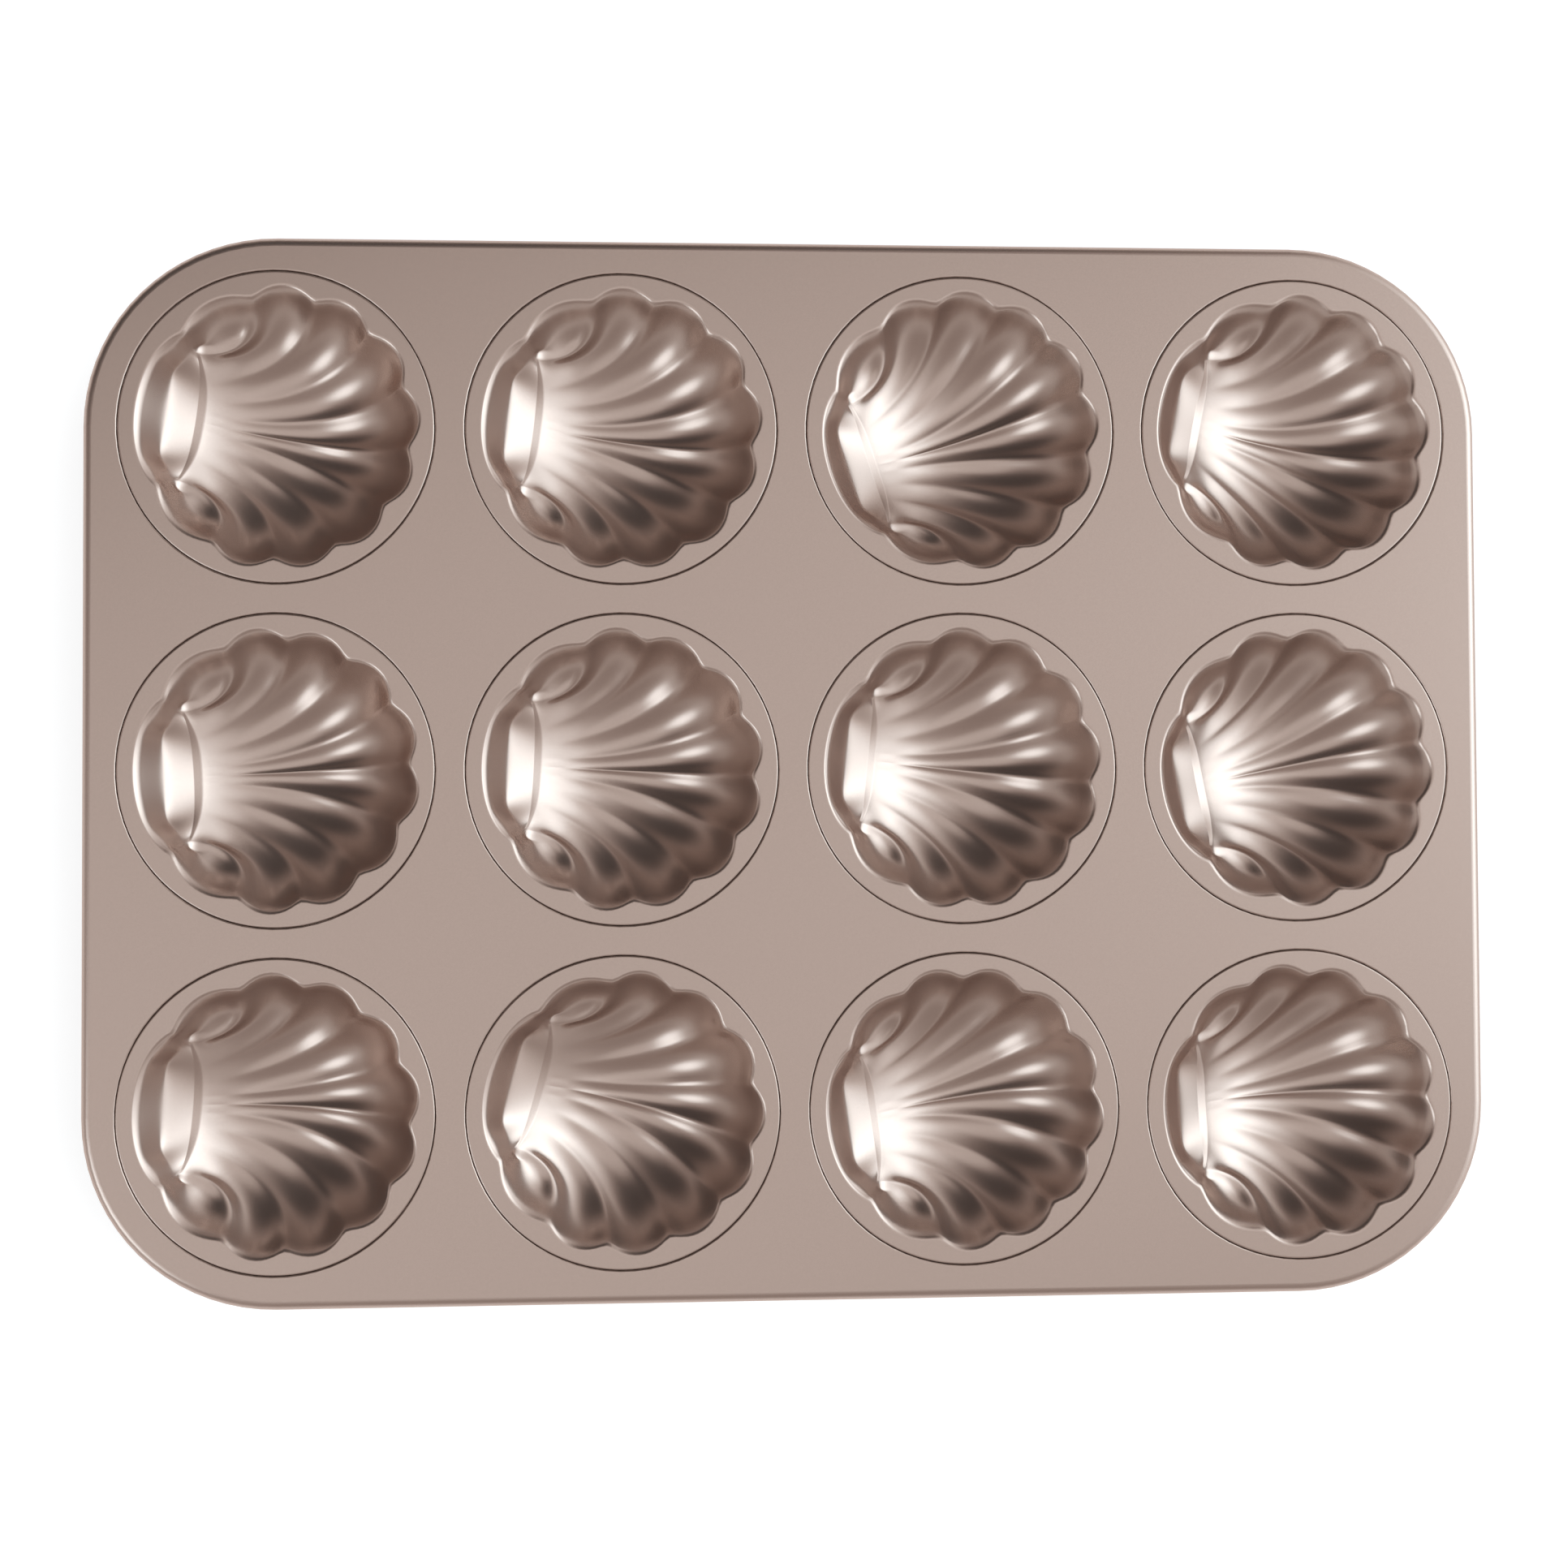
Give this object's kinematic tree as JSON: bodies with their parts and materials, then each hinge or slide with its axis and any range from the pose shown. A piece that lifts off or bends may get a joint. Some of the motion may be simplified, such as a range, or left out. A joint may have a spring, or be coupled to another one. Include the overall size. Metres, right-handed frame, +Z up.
{
  "type": "madeleine pan",
  "caption": "Shallow rectangular baking pan with round corners and a rolled rim, its scallop-shell cups pressed separately and crimped into round holes of a flat plate.",
  "frame": {"origin": "centre of the pan in plan, on the plane that the cups' lowest flats rest on", "axes": "+X along the long side, the way the shells' fans open; +Y along the short side; +Z up, out of the cups"},
  "size_m": [0.35, 0.265, 0.019],
  "materials": {
    "tray_coat": "satin champagne non-stick coating on sheet steel",
    "cup_coat": "satin champagne non-stick coating on sheet steel",
    "wire_steel": "drawn wire"
  },
  "bodies": {
    "root": {"tray_plate": "tray_coat", "rim_wire": "wire_steel", "cup_r1_c1": "cup_coat", "cup_r1_c2": "cup_coat", "cup_r1_c3": "cup_coat", "cup_r1_c4": "cup_coat", "cup_r2_c1": "cup_coat", "cup_r2_c2": "cup_coat", "cup_r2_c3": "cup_coat", "cup_r2_c4": "cup_coat", "cup_r3_c1": "cup_coat", "cup_r3_c2": "cup_coat", "cup_r3_c3": "cup_coat", "cup_r3_c4": "cup_coat"}
  },
  "joints": []
}
